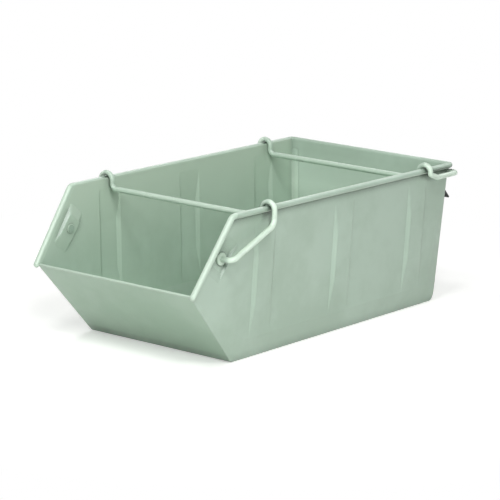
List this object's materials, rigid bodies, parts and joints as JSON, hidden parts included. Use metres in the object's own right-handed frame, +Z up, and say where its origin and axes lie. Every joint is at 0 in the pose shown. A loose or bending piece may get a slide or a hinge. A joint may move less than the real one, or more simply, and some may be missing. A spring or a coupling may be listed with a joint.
{
  "type": "stack-and-nest storage bin",
  "caption": "Open-fronted sheet-steel storage bin with a rolled rim, ribbed sides and swinging wire bails that carry the next bin when stacked and fold outward to nest.",
  "frame": {"origin": "on the underside of the floor, below the middle of the whole object", "axes": "+X to the right, -Y out of the open front, +Z up"},
  "size_m": [0.3284, 0.6194, 0.2248],
  "materials": {
    "pan_paint": "semi-gloss grey-green paint",
    "side_paint": "semi-gloss grey-green paint",
    "rear_paint": "semi-gloss grey-green paint",
    "wire_paint": "semi-gloss grey-green paint",
    "eyelet_paint": "semi-gloss grey-green paint",
    "strap_paint": "dark paint",
    "bail_paint": "glossy grey-green paint"
  },
  "bodies": {
    "bin": {"floor_and_front_pan": "pan_paint", "left_side_panel": "side_paint", "right_side_panel": "side_paint", "rear_panel": "rear_paint", "left_rim_wire": "wire_paint", "right_rim_wire": "wire_paint", "rear_rim_wire": "wire_paint", "left_front_eyelet": "eyelet_paint", "right_front_eyelet": "eyelet_paint", "left_rear_hinge_strap": "strap_paint", "right_rear_hinge_strap": "strap_paint"},
    "front_carrier": {"front_bail": "bail_paint"},
    "rear_carrier": {"rear_bail": "bail_paint"}
  },
  "joints": [
    {"name": "front_bail_swing", "type": "hinge", "parent": "bin", "child": "front_carrier", "pos_m": [0, -0.2415, 0.1545], "axis": [1, 0, 0], "range_deg": [0, 233]},
    {"name": "rear_bail_swing", "type": "hinge", "parent": "bin", "child": "rear_carrier", "pos_m": [0, 0.29923, 0.2015], "axis": [-1, 0, 0], "range_deg": [0, 260]}
  ]
}
